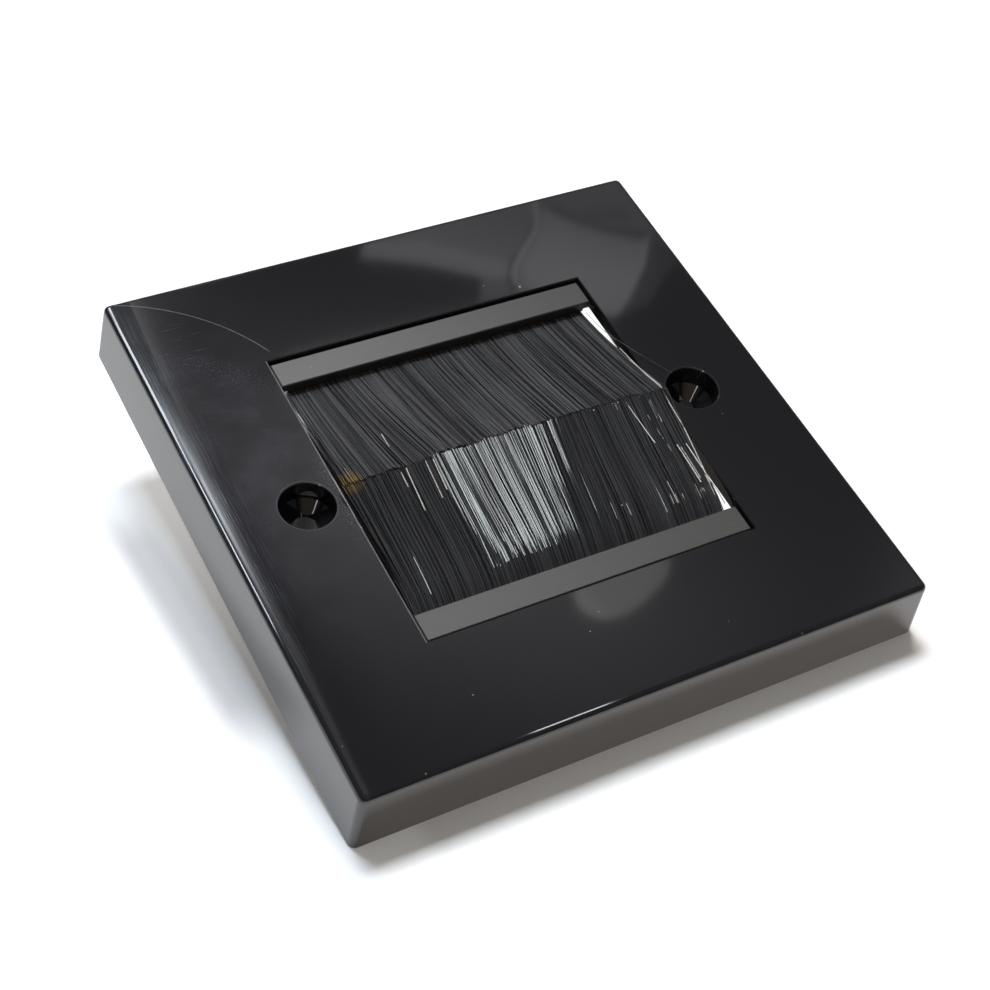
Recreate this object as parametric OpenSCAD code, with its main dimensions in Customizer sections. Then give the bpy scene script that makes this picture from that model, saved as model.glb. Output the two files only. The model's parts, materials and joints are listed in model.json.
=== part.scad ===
/* [Face plate] */
// Width of the plate at its back rim
plate_w = 86; // [80:0.5:110]
// Height of the plate at its back rim
plate_h = 86; // [80:0.5:110]
// Depth from the back rim to the front face
plate_d = 10; // [9:0.1:14]
// Thickness of the front wall
face_t = 2.1; // [1.6:0.1:3]
// Thickness of the rim wall
rim_t = 1.9; // [1.4:0.1:3]
// How much each side leans in towards the front face
side_draft = 0.6; // [0.1:0.1:1.5]
// Radius of the four upright corners
corner_r = 1; // [0.85:0.05:3]
// Radius of the rounded edge round the front face
edge_r = 0.8; // [0.3:0.05:0.85]
// Width of the square opening
opening_w = 50; // [44:0.25:50.25]
// Height of the square opening
opening_h = 50; // [44:0.25:56]
// Small chamfer round the opening and the screw recesses
lip_c = 0.15; // [0.05:0.05:0.4]

/* [Screw holes] */
// Distance between the two screw holes
screw_pitch = 60.3; // [59:0.1:66]
// Diameter of the hole that the screw passes through
screw_d = 4; // [3.5:0.1:5]
// Diameter of the recess for the screw head
recess_d = 7.7; // [7:0.1:9]
// Depth of the straight part of the recess
recess_depth = 3.2; // [2:0.1:3.5]
// Length of straight hole below the cone
screw_land = 4; // [0.8:0.1:4.5]
// Wall of the boss round the recess
boss_wall = 1.2; // [0.8:0.1:1.6]

/* [Ribs, hooks and stops] */
// Thickness of the ribs behind the face
rib_t = 1.2; // [0.8:0.1:2]
// How far the ribs stand out behind the face
rib_h = 2.5; // [1:0.1:3.5]
// Width of each hook that holds a brush holder
hook_w = 6; // [4:0.5:10]
// Thickness of each hook
hook_t = 1.2; // [0.8:0.1:1.8]
// Distance between the two hooks of one holder
hook_pitch = 28; // [16:1:36]
// How far the hook's nose reaches over the flange
nose_reach = 0.8; // [0.4:0.1:1.4]
// Height of the nose's flat edge
nose_edge = 0.5; // [0.3:0.1:1]
// Length of the ramp on the nose
nose_ramp = 0.9; // [0.5:0.1:1.4]
// Thickness of the stops at a holder's ends
stop_t = 1.1; // [0.8:0.1:1.5]
// How far the stops stand out behind the face
stop_h = 1.5; // [0.8:0.1:2]

/* [Brush holders] */
// Width of the bar that shows in the opening
bar_w = 4.2; // [3.6:0.1:5]
// Thickness of the bar
bar_t = 1.25; // [0.9:0.05:1.6]
// How far the bar lies below the front face
bar_recess = 0.5; // [0.1:0.1:1]
// Gap between the bar and the long edge of the opening
bar_gap = 0.35; // [0.1:0.05:0.6]
// Gap between the bar and the short edge of the opening
bar_end_gap = 0.3; // [0.1:0.05:0.8]
// Chamfer along the bar's upper edges
bar_c = 0.15; // [0.05:0.05:0.4]
// How much shorter the strip below the bar is at each end
strip_inset = 0.9; // [0.3:0.1:2]
// Depth of the lips that keep the channel in its groove
lip_d = 0.55; // [0.3:0.05:0.8]
// Thickness of the holder below the channel
floor_t = 1; // [0.7:0.1:1.4]
// Thickness of the holder behind the channel
back_t = 1.05; // [0.7:0.05:1.4]
// Thickness of the flange behind the face
flange_t = 2; // [1.2:0.1:2.4]
// How far the flange laps behind the edge of the opening
flange_lap = 2.2; // [1.9:0.1:3]
// Clearance round pieces that push or slide together
fit_gap = 0.1; // [0.05:0.05:0.2]

/* [Brush strips] */
// Height of the folded metal channel
channel_h = 3; // [2.6:0.1:3.4]
// Depth of the channel from its jaws to its rounded back
channel_d = 3.4; // [3:0.1:4]
// Thickness of the channel's sheet metal
sheet_t = 0.4; // [0.25:0.05:0.5]
// Diameter of the core wire
wire_d = 1; // [0.7:0.1:1.2]
// Clearance between the filament and the metal round it
grip_gap = 0.05; // [0.02:0.01:0.1]
// Distance between neighbouring tufts
tuft_pitch = 0.76; // [0.74:0.02:2]
// Width of one tuft
tuft_w = 0.61; // [0.3:0.01:0.62]
// Height of the ridge above the front face at its middle
ridge_h = 2.75; // [1:0.05:4]
// How much lower the ridge is at the edges of the opening
ridge_sag = 1.2; // [0:0.1:2]
// How much lower the lower comb's tips lie than the upper comb's
tip_step = 0.15; // [0:0.01:0.16]
// Where the combs meet, above the middle of the opening
seam_y = 0.3; // [-2:0.1:2]
// Gap between the tips of the two combs
tip_gap = 0.15; // [0.05:0.01:0.5]
// How far the ragged line of the tips wanders to and fro
tip_ragged = 0.6; // [0:0.05:0.7]
// Share of the lower comb's rise that lies close to its bar
early_rise = 0.55; // [0.3:0.05:0.7]
// How far the tips at the left end lean outwards
fan_left = 1; // [0:0.1:1]
// How far the tips in the middle lean to the right
fan_middle = 1.2; // [-1.5:0.1:1.5]
// How far the tips at the right end lean outwards
fan_right = 0.6; // [0:0.1:0.8]
// How far neighbouring tufts wander to and fro
fan_wave = 0.22; // [0:0.01:0.25]

/* [Hidden] */
$fn = 64;
shell_fn = 32;
cut = 1;
slice = 0.01;
hollow_r = 0.5;

plate_black = [0.05, 0.05, 0.055];
bar_black = [0.13, 0.13, 0.13];
filament_black = [0.07, 0.07, 0.075];
steel = [0.62, 0.63, 0.64];

// Levels above the back rim, and distances from the middle
wall_z = plate_d - face_t;
bar_top_z = plate_d - bar_recess;
bar_low_z = bar_top_z - bar_t;
bar_out_y = opening_h / 2 - bar_gap;
bar_in_y = bar_out_y - bar_w;
bar_l = opening_w - 2 * bar_end_gap;
strip_l = bar_l - 2 * strip_inset;

// The channel lies against the underside of the bar, behind two lips
channel_z = bar_low_z - fit_gap - channel_h / 2;
jaw_y = bar_in_y + lip_d + fit_gap;
channel_r = channel_h / 2;
bend_y = jaw_y + channel_d - channel_r;
channel_l = strip_l - 2 * fit_gap;
filament_h = channel_h - 2 * sheet_t - 2 * grip_gap;
filament_l = channel_l - 2 * fit_gap;
wire_l = filament_l;

holder_low_z = channel_z - channel_h / 2 - fit_gap - floor_t;
holder_back_y = jaw_y + channel_d + fit_gap + back_t;
flange_y = opening_h / 2 + flange_lap;
flange_low_z = wall_z - flange_t;
hook_y = flange_y + fit_gap;
nose_top_z = flange_low_z - fit_gap / 2;
rib_y = hook_y + hook_t;

boss_r = recess_d / 2 + boss_wall;
cone_h = (recess_d - screw_d) / 2;
cone_low_z = plate_d - recess_depth - cone_h;
boss_low_z = cone_low_z - screw_land;

// Two layers of tufts, the lower one set between the tufts of the upper
layers = 2;
layer_step = filament_h / layers;
layer_gap = 0.17;
tuft_t = layer_step - layer_gap;
tuft_count = floor(filament_l / tuft_pitch);
tuft_steps = 4;
root_set = 0.3;
rise_power = 1.4;
early_run = 0.15;
wave_step = 25;
ragged = rands(-0.5, 0.5, tuft_count, 29);

// Height of the ridge's crest at a distance along the opening
function crest_z(x) = plate_d + ridge_h - ridge_sag * pow(2 * x / opening_w, 2);

// The ragged line where the tips of both combs stop. A tuft of layer 1 lies between two tufts
// of layer 0, and stops at the higher of their two places, so that the combs stay apart.
function tip_line(layer, k) =
    seam_y + tip_ragged * (layer == 0 ? ragged[k] : max(ragged[k], ragged[k + 1]));

// Share of the rise at a share of the way from bar to tips. The upper comb, side 1, rises
// steadily. The lower comb, side -1, bends up close to its bar and then runs nearly level.
function rise_share(side, s) =
    side > 0 ? pow(s, rise_power) : early_rise * (1 - exp(-s / early_run)) + (1 - early_rise) * s * s;

// Sideways lean of a tuft's tip: outwards at both ends, to the right in the middle, and a slow
// wave along the comb
function lean(x, k) =
    let (u = 2 * x / filament_l)
    fan_middle * (1 - u * u)
    + (fan_right + fan_left) / 2 * u
    + (fan_right - fan_left) / 2 * u * u
    + fan_wave * sin(wave_step * k);

// Extrudes a profile drawn in y and z along x, centred on the middle
module along_x(length) {
    rotate([90, 0, 90])
        linear_extrude(height = length, center = true)
            children();
}

module both_sides() {
    children();
    mirror([0, 1, 0])
        children();
}

module both_ends() {
    children();
    mirror([1, 0, 0])
        children();
}

// A corner post of the outer shell, rounded over at its top
module shell_corner(r, round_r) {
    rotate_extrude($fn = shell_fn) {
        square([r - round_r, round_r]);
        translate([r - round_r, 0])
            intersection() {
                circle(round_r);
                square(round_r);
            }
    }
}

// The outside of the plate: leaning sides, upright corners and a rounded front edge
module plate_outside() {
    low_x = plate_w / 2 - corner_r;
    low_y = plate_h / 2 - corner_r;
    hull()
        for (sx = [-1, 1], sy = [-1, 1]) {
            translate([sx * low_x, sy * low_y, 0])
                cylinder(r = corner_r, h = slice, $fn = shell_fn);
            translate([sx * (low_x - side_draft), sy * (low_y - side_draft), plate_d - edge_r])
                shell_corner(corner_r, edge_r);
        }
}

// The hollow behind the face, with the same lean as the outside
module plate_hollow() {
    low_x = plate_w / 2 - rim_t - hollow_r;
    low_y = plate_h / 2 - rim_t - hollow_r;
    lean_in = side_draft * wall_z / plate_d;
    hull()
        for (sx = [-1, 1], sy = [-1, 1]) {
            translate([sx * low_x, sy * low_y, -slice])
                cylinder(r = hollow_r, h = slice, $fn = shell_fn);
            translate([sx * (low_x - lean_in), sy * (low_y - lean_in), wall_z - slice])
                cylinder(r = hollow_r, h = slice, $fn = shell_fn);
        }
}

// The square opening with a fine chamfer at the front
module opening_cut() {
    translate([-opening_w / 2, -opening_h / 2, wall_z - cut])
        cube([opening_w, opening_h, face_t + 2 * cut]);
    hull() {
        translate([-opening_w / 2, -opening_h / 2, plate_d - lip_c])
            cube([opening_w, opening_h, slice]);
        translate([-opening_w / 2 - lip_c, -opening_h / 2 - lip_c, plate_d])
            cube([opening_w + 2 * lip_c, opening_h + 2 * lip_c, slice]);
    }
}

// Ribs from rim to rim above and below the opening, and through the bosses
module ribs() {
    reach_x = plate_w / 2 - rim_t;
    reach_y = plate_h / 2 - rim_t;
    low_z = wall_z - rib_h;
    both_sides()
        translate([-reach_x, rib_y, low_z])
            cube([2 * reach_x, rib_t, rib_h + cut]);
    both_ends()
        translate([screw_pitch / 2 - rib_t / 2, -reach_y, low_z])
            cube([rib_t, 2 * reach_y, rib_h + cut]);
    both_ends()
        translate([screw_pitch / 2, -rib_t / 2, low_z])
            cube([reach_x - screw_pitch / 2, rib_t, rib_h + cut]);
}

module screw_boss() {
    translate([screw_pitch / 2, 0, boss_low_z])
        cylinder(r = boss_r, h = wall_z - boss_low_z + cut);
}

// Recess for the screw head, its cone and the hole through the boss
module screw_cut() {
    translate([screw_pitch / 2, 0, 0]) {
        translate([0, 0, boss_low_z - cut])
            cylinder(d = screw_d, h = screw_land + cone_h + cut);
        translate([0, 0, cone_low_z])
            cylinder(d1 = screw_d, d2 = recess_d, h = cone_h);
        translate([0, 0, plate_d - recess_depth])
            cylinder(d = recess_d, h = recess_depth + cut);
        translate([0, 0, plate_d - lip_c])
            cylinder(d1 = recess_d, d2 = recess_d + 4 * lip_c, h = 2 * lip_c);
    }
}

// A hook behind the face whose nose keeps the holder's flange in its seat
module hook() {
    nose_low_z = nose_top_z - nose_edge;
    along_x(hook_w)
        polygon([
            [hook_y, wall_z + cut],
            [hook_y, nose_top_z],
            [hook_y - nose_reach, nose_top_z],
            [hook_y - nose_reach, nose_low_z],
            [hook_y, nose_low_z - nose_ramp],
            [rib_y, nose_low_z - nose_ramp],
            [rib_y, wall_z + cut]
        ]);
}

// A stop behind the face, at the end of a holder's flange
module end_stop() {
    stop_y = opening_h / 2 + bar_gap;
    translate([strip_l / 2 + fit_gap, stop_y, wall_z - stop_h])
        cube([stop_t, rib_y - stop_y, stop_h + cut]);
}

module face_plate() {
    color(plate_black)
        difference() {
            union() {
                difference() {
                    plate_outside();
                    plate_hollow();
                }
                intersection() {
                    union() {
                        ribs();
                        both_ends()
                            screw_boss();
                        both_sides()
                            both_ends() {
                                translate([hook_pitch / 2, 0, 0])
                                    hook();
                                end_stop();
                            }
                    }
                    translate([-plate_w / 2, -plate_h / 2, 0])
                        cube([plate_w, plate_h, plate_d - face_t / 2]);
                }
            }
            opening_cut();
            both_ends()
                screw_cut();
        }
}

// The bar that shows in the opening, chamfered along all its upper edges
module bar() {
    intersection() {
        along_x(bar_l)
            polygon([
                [bar_in_y, bar_low_z],
                [bar_out_y, bar_low_z],
                [bar_out_y, bar_top_z - bar_c],
                [bar_out_y - bar_c, bar_top_z],
                [bar_in_y + bar_c, bar_top_z],
                [bar_in_y, bar_top_z - bar_c]
            ]);
        translate([0, bar_out_y + cut, 0])
            rotate([90, 0, 0])
                linear_extrude(height = bar_w + 2 * cut)
                    polygon([
                        [-bar_l / 2, bar_low_z],
                        [bar_l / 2, bar_low_z],
                        [bar_l / 2, bar_top_z - bar_c],
                        [bar_l / 2 - bar_c, bar_top_z],
                        [-bar_l / 2 + bar_c, bar_top_z],
                        [-bar_l / 2, bar_top_z - bar_c]
                    ]);
    }
}

// The groove that the channel slides into, narrowed by a lip above and below its mouth
module channel_groove() {
    groove_r = channel_r + fit_gap;
    mouth_h = filament_h + 2 * fit_gap;
    union() {
        translate([bend_y, channel_z])
            circle(groove_r);
        translate([bar_in_y + lip_d, channel_z - groove_r])
            square([bend_y - bar_in_y - lip_d, 2 * groove_r]);
        translate([bar_in_y - cut, channel_z - mouth_h / 2])
            square([lip_d + 2 * cut, mouth_h]);
    }
}

module holder() {
    color(bar_black) {
        body_top_z = min(wall_z, bar_low_z);
        union() {
            bar();
            along_x(strip_l)
                difference() {
                    union() {
                        translate([bar_in_y, holder_low_z])
                            square([bar_w, bar_low_z - holder_low_z + bar_t / 2]);
                        translate([bar_in_y, holder_low_z])
                            square([holder_back_y - bar_in_y, body_top_z - holder_low_z]);
                        translate([bar_out_y - bar_w / 2, flange_low_z])
                            square([flange_y - bar_out_y + bar_w / 2, flange_t]);
                    }
                    channel_groove();
                }
        }
    }
}

// Sheet metal folded to a U round the filament
module channel() {
    color(steel)
        along_x(channel_l)
            difference() {
                union() {
                    translate([bend_y, channel_z])
                        circle(channel_r);
                    translate([jaw_y, channel_z - channel_r])
                        square([bend_y - jaw_y, channel_h]);
                }
                translate([bend_y, channel_z])
                    circle(channel_r - sheet_t);
                translate([jaw_y - cut, channel_z - channel_r + sheet_t])
                    square([bend_y - jaw_y + cut, channel_h - 2 * sheet_t]);
            }
}

module core_wire() {
    color(steel)
        translate([-wire_l / 2, bend_y, channel_z])
            rotate([0, 90, 0])
                cylinder(d = wire_d, h = wire_l);
}

// The filament folded back over the core wire inside the channel
module folded_root() {
    along_x(filament_l)
        difference() {
            union() {
                translate([bend_y, channel_z])
                    circle(filament_h / 2);
                translate([jaw_y, channel_z - filament_h / 2])
                    square([bend_y - jaw_y, filament_h]);
            }
            translate([bend_y, channel_z])
                circle(d = wire_d + 2 * grip_gap);
        }
}

// One tuft, straight out of the jaws and then rising to its tip
module tuft(side, x, tip_y, top_z, rise, lean_x) {
    run = bar_in_y - tip_y;
    crown = concat(
        [[jaw_y + root_set, top_z]],
        [for (i = [0:tuft_steps])
            let (s = i / tuft_steps)
            [bar_in_y - run * s, top_z + rise * rise_share(side, s)]]
    );
    outline = concat(crown, [for (i = [len(crown) - 1:-1:0]) crown[i] - [0, tuft_t]]);
    translate([x, bar_in_y, 0])
        rotate([0, 0, asin(lean_x / run)])
            translate([0, -bar_in_y, 0])
                along_x(tuft_w)
                    polygon(outline);
}

// A whole comb that grows from the upper strip. The two combs share one ragged line of tips,
// so the side is 1 for the comb above that line and -1 for the one below, before it is mirrored.
module comb(side, drop) {
    color(filament_black)
        union() {
            folded_root();
            for (layer = [0:layers - 1]) {
                count = tuft_count - layer;
                top_z = channel_z + filament_h / 2 - layer * layer_step - (layer_step - tuft_t) / 2;
                for (k = [0:count - 1]) {
                    x = (k - (count - 1) / 2) * tuft_pitch;
                    tip_y = side * tip_line(layer, k) + tip_gap / 2;
                    rise = crest_z(x) - drop - channel_z - filament_h / 2;
                    tuft(side, x, tip_y, top_z, rise, lean(x, k + layer / 2));
                }
            }
        }
}

module upper_holder() {
    holder();
}

module lower_holder() {
    mirror([0, 1, 0])
        holder();
}

module upper_channel() {
    channel();
}

module lower_channel() {
    mirror([0, 1, 0])
        channel();
}

module upper_core_wire() {
    core_wire();
}

module lower_core_wire() {
    mirror([0, 1, 0])
        core_wire();
}

module upper_bristles() {
    comb(1, 0);
}

module lower_bristles() {
    mirror([0, 1, 0])
        comb(-1, tip_step);
}

face_plate();
upper_holder();
lower_holder();
upper_channel();
lower_channel();
upper_core_wire();
lower_core_wire();
upper_bristles();
lower_bristles();
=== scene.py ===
# %% [markdown]
# # A brush wall plate
# This lesson dresses a brush wall plate: a glossy black moulding with a square opening,
# two matt bars inside it, and two combs of black filament that meet in a raised ridge.
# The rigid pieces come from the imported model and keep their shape. The bristles are
# replaced by real strands, because nothing else on the object is seen so closely.

# %% Load the fixed frame
import json
import math

import bpy
import numpy as np
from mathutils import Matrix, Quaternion, Vector


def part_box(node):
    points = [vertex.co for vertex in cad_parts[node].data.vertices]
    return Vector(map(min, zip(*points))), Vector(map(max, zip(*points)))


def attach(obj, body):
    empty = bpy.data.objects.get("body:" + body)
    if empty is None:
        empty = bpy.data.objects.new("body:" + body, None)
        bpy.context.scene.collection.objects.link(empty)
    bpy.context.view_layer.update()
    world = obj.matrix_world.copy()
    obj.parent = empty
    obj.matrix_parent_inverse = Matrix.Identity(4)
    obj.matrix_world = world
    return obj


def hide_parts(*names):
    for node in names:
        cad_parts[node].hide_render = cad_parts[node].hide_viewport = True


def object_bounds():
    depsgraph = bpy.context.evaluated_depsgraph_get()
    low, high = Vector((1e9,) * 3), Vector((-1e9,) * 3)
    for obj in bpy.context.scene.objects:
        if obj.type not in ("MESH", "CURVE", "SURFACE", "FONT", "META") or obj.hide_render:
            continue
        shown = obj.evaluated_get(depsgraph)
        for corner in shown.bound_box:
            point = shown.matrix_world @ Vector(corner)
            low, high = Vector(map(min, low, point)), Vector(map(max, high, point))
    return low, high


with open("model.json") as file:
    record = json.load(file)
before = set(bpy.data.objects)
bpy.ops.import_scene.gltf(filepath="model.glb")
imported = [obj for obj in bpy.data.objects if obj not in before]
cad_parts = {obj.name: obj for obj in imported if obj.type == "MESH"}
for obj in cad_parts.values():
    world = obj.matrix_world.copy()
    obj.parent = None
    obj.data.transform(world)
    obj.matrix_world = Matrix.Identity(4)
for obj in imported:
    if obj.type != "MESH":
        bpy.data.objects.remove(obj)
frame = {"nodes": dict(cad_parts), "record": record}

mm = 0.001
solid_box = [list(corner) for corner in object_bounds()]
face_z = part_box("face_plate")[1].z
print("face of the plate at", round(face_z / mm, 3), "mm")

# %% [markdown]
# ## Camera
# The plate lies on its back and is seen from the front left, from above. A long lens keeps
# its sides nearly parallel. The camera also leans a little to its left, so it is aimed
# first and then rolled about its own line of sight.

# %% Place, aim and roll the camera
camera_place = Vector((-105.48, -131.48, 202.03)) * mm
camera_aim = Vector((-6.03, -7.26, 10.0)) * mm
camera_roll = math.radians(14.0)
camera_lens = 67.93

camera = bpy.data.objects.new("camera", bpy.data.cameras.new("camera"))
bpy.context.scene.collection.objects.link(camera)
camera.location = camera_place
camera.rotation_mode = "QUATERNION"
line_of_sight = camera_aim - camera_place
camera.rotation_quaternion = line_of_sight.to_track_quat("-Z", "Y") @ Quaternion((0, 0, 1), camera_roll)
camera.data.lens = camera_lens
bpy.context.scene.camera = camera
print("camera", round(line_of_sight.length / mm), "mm from its aim")

# %% [markdown]
# ## Materials are small node trees
# Every finish below is built from a few nodes. These helpers keep the trees short to
# write: one starts a material with its shader, one adds a node with its values, one joins
# two sockets, and the others do sums with numbers or sockets.

# %% Helpers for node trees
def start_material(name):
    material = bpy.data.materials.new(name)
    material.use_nodes = True
    tree = material.node_tree
    return material, tree, tree.nodes["Principled BSDF"]


def add_node(tree, kind, inputs=None, **settings):
    node = tree.nodes.new(kind)
    for key, value in settings.items():
        setattr(node, key, value)
    for key, value in (inputs or {}).items():
        node.inputs[key].default_value = value
    return node


def join(tree, start, end):
    tree.links.new(start, end)


def object_place(tree):
    return add_node(tree, "ShaderNodeTexCoord").outputs["Object"]


def flat_place(tree):
    split = add_node(tree, "ShaderNodeSeparateXYZ")
    join(tree, object_place(tree), split.inputs[0])
    return split.outputs["X"], split.outputs["Y"]


def calculate(tree, operation, *values):
    node = add_node(tree, "ShaderNodeMath", operation=operation)
    for socket, value in zip(node.inputs, values):
        if isinstance(value, (int, float)):
            socket.default_value = value
        else:
            join(tree, value, socket)
    return node.outputs[0]


def plus(tree, first, *others):
    for other in others:
        first = calculate(tree, "ADD", first, other)
    return first


def minus(tree, first, second):
    return calculate(tree, "SUBTRACT", first, second)


def times(tree, first, *others):
    for other in others:
        first = calculate(tree, "MULTIPLY", first, other)
    return first


def remap(tree, value, low, high, to_low=0.0, to_high=1.0):
    node = add_node(tree, "ShaderNodeMapRange", interpolation_type="SMOOTHSTEP",
                    inputs={"From Min": low, "From Max": high, "To Min": to_low, "To Max": to_high})
    join(tree, value, node.inputs["Value"])
    return node.outputs["Result"]


def mix_colours(tree, factor, first, second):
    node = add_node(tree, "ShaderNodeMix", data_type="RGBA")
    join(tree, factor, node.inputs["Factor"])
    for socket, value in ((node.inputs["A"], first), (node.inputs["B"], second)):
        if isinstance(value, tuple):
            socket.default_value = (*value, 1)
        else:
            join(tree, value, socket)
    return node.outputs["Result"]


# %% [markdown]
# ## Floor and room
# The plate lies on white paper, with its front edge on the paper and its far side propped
# up, so the shadow at its left is a wedge. The frame stays with the plate, and the paper is
# tilted about the front edge instead. A camera ray finds a part of the paper's brightness by
# itself, and the lamps add the rest, so that the soft shadows stay. Shade is also painted
# into the paper's colour: it is darker under the plate and in a soft band beside the plate's
# left side, where the shadow is deepest. Light is painted on it as glow: for the camera, a
# bright strip under the plate's right end and a faint one under its raised left edge; for
# the gloss alone, cool and dim in the plate's left side, and warm and brighter in its front.
# The camera sees through the underside of the paper, so that the plate's back can be seen,
# and the paper under the plate glows for other rays to light that back.

# %% Sheet of paper under the front edge
floor_size = 1.2
floor_tilt = math.radians(13.0)
front_edge = -43 * mm
floor_drop = 0.02 * mm

bpy.ops.object.select_all(action="DESELECT")
bpy.ops.mesh.primitive_plane_add(size=floor_size)
floor = bpy.context.object
floor.name = "paper_floor"
floor.location = (0, front_edge, -floor_drop)
floor.rotation_euler = (-floor_tilt, 0, 0)

# %% Zones of the paper, in millimetres in its own plane
# A zone has its left, right, near and far border, and how soft these are across and along.
painted_light_gap_zone = (29, 41, 14, 86, 1, 2)
under_zone = (-41, 41, 2, 82, 1, 1)
painted_shade_under_zone = (-33, 27, 8, 76, 1, 2)
painted_shadow_beside_zone = (-46.5, -44.5, 30, 62, 4, 13)


def between(tree, value, low, high, soft):
    rises = remap(tree, value, low - soft, low)
    falls = remap(tree, value, high, high + soft, 1.0, 0.0)
    return times(tree, rises, falls)


def zone_mask(tree, x, y, zone):
    left, right, near, far, soft_across, soft_along = [size * mm for size in zone]
    return times(tree, between(tree, x, left, right, soft_across), between(tree, y, near, far, soft_along))


# %% White paper: pale, with a painted shadow beside the plate's left side and painted shade right under it
paper_albedo, painted_shadow_beside_colour, painted_shade_under_colour = (0.88, 0.88, 0.88), (0.50, 0.50, 0.51), (0.10, 0.095, 0.09)
paper_glow, under_glow = 0.06, 0.25
painted_slit_near, painted_slit_far = 0.05, 0.35
left_near, left_far, front_mirrored = 0.19, 0.13, 0.42
left_tint, front_tint = (0.965, 0.975, 1.0), (1.0, 0.88, 0.80)

material, tree, shader = start_material("white_paper")
shader.inputs["Roughness"].default_value = 1
shader.inputs["Specular IOR Level"].default_value = 0
rays = add_node(tree, "ShaderNodeLightPath").outputs
x, y = flat_place(tree)
under, dark = zone_mask(tree, x, y, under_zone), zone_mask(tree, x, y, painted_shade_under_zone)
# Painted shadow in a band beside the plate's left side, and painted shade under the plate.
paper = mix_colours(tree, zone_mask(tree, x, y, painted_shadow_beside_zone), paper_albedo, painted_shadow_beside_colour)
join(tree, mix_colours(tree, dark, paper, painted_shade_under_colour), shader.inputs["Base Color"])

# %% What the camera, the gloss and the plate's back see of the paper: painted light, as glow
# Painted light: a faint glow under the plate's raised left edge, for the camera.
painted_light_slit = times(tree, remap(tree, x, -52 * mm, -40 * mm), remap(tree, x, -36 * mm, -32 * mm, 1.0, 0.0),
             remap(tree, y, 20 * mm, 80 * mm, painted_slit_near, painted_slit_far))
# Painted light: a bright strip under the plate's right end, seen through the gap by the bristles; the
# painted shade under the plate takes out the paper's own glow.
seen = plus(tree, times(tree, minus(tree, 1.0, dark), paper_glow), zone_mask(tree, x, y, painted_light_gap_zone), painted_light_slit)
# Painted light: glow that only the gloss sees, cool and dim for the plate's left side, warm and brighter
# for its front, and none under the plate.
left_side = remap(tree, minus(tree, y, x), 38 * mm, 48 * mm)
left_mirrored = remap(tree, y, -20 * mm, 90 * mm, left_near, left_far)
mirrored = plus(tree, times(tree, left_side, left_mirrored),
                times(tree, minus(tree, 1.0, left_side), front_mirrored))
mirrored = times(tree, mirrored, minus(tree, 1.0, under))
# Painted light: the paper under the plate glows for all rays but the camera's, to light the plate's back.
lit_back = times(tree, under, minus(tree, 1.0, rays["Is Camera Ray"]), under_glow)
glow = plus(tree, times(tree, rays["Is Camera Ray"], seen), times(tree, rays["Is Glossy Ray"], mirrored),
            lit_back)
join(tree, glow, shader.inputs["Emission Strength"])
side_tint = mix_colours(tree, left_side, front_tint, left_tint)
join(tree, mix_colours(tree, rays["Is Glossy Ray"], (1, 1, 1), side_tint), shader.inputs["Emission Color"])

# %% Let the camera through the underside
underside = add_node(tree, "ShaderNodeMixShader")
join(tree, add_node(tree, "ShaderNodeNewGeometry").outputs["Backfacing"], underside.inputs["Fac"])
join(tree, shader.outputs[0], underside.inputs[1])
join(tree, add_node(tree, "ShaderNodeBsdfTransparent").outputs[0], underside.inputs[2])
join(tree, underside.outputs[0], tree.nodes["Material Output"].inputs["Surface"])
floor.data.materials.append(material)
print("the paper is", floor_size, "m wide and tilted by", round(math.degrees(floor_tilt)), "degrees")

# %% White surroundings for the camera, a grey room for the lamps, a darker one for the gloss
room_grey = (0.28, 0.26, 0.235, 1)
room_dark = (0.10, 0.10, 0.105, 1)
world = bpy.data.worlds.new("studio")
bpy.context.scene.world = world
world.use_nodes = True
tree = world.node_tree
rays = add_node(tree, "ShaderNodeLightPath")
background = tree.nodes["Background"]
room = add_node(tree, "ShaderNodeMix", data_type="RGBA", inputs={"A": room_grey, "B": room_dark})
white = add_node(tree, "ShaderNodeMix", data_type="RGBA", inputs={"B": (1, 1, 1, 1)})
join(tree, rays.outputs["Is Glossy Ray"], room.inputs["Factor"])
join(tree, room.outputs["Result"], white.inputs["A"])
join(tree, rays.outputs["Is Camera Ray"], white.inputs["Factor"])
join(tree, white.outputs["Result"], background.inputs["Color"])
bpy.context.scene.view_settings.view_transform = "Standard"
print("the lamps' room is", room_grey[0], "bright and the mirrored one", room_dark[0])

# %% [markdown]
# ## Lamps
# The lamps are placed by the direction in which they are seen from the plate: an azimuth,
# from +X towards +Y, and an elevation. A lamp panel is an area light whose radiance is
# given, because that is what a mirror shows. Two high lamps behind the plate, one warm and
# one cool, light the paper and throw the two soft shadows, each in the other lamp's colour.
# Two lower ones only show in the gloss: they draw the bright lines on edges and strands.

# %% Lamp panels by direction and radiance
def direction(azimuth, elevation):
    turn, tilt = math.radians(azimuth), math.radians(elevation)
    return Vector((math.cos(turn) * math.cos(tilt), math.sin(turn) * math.cos(tilt), math.sin(tilt)))


lamp_far = 1.1


# Blender makes a panel's radiance a quarter of its power over its area.
def lamp_panel(name, towards, width, height, radiance, colour, mirrored):
    data = bpy.data.lights.new(name, "AREA")
    data.shape = "RECTANGLE"
    data.size, data.size_y = width, height
    data.energy = 4 * radiance * width * height
    data.color = colour
    lamp = bpy.data.objects.new(name, data)
    bpy.context.scene.collection.objects.link(lamp)
    lamp.location = towards * lamp_far
    lamp.rotation_euler = towards.to_track_quat("Z", "Y").to_euler()
    lamp.visible_camera = False
    lamp.visible_glossy = mirrored
    lamp.visible_diffuse = not mirrored
    print(name, "radiance", radiance)


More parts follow.
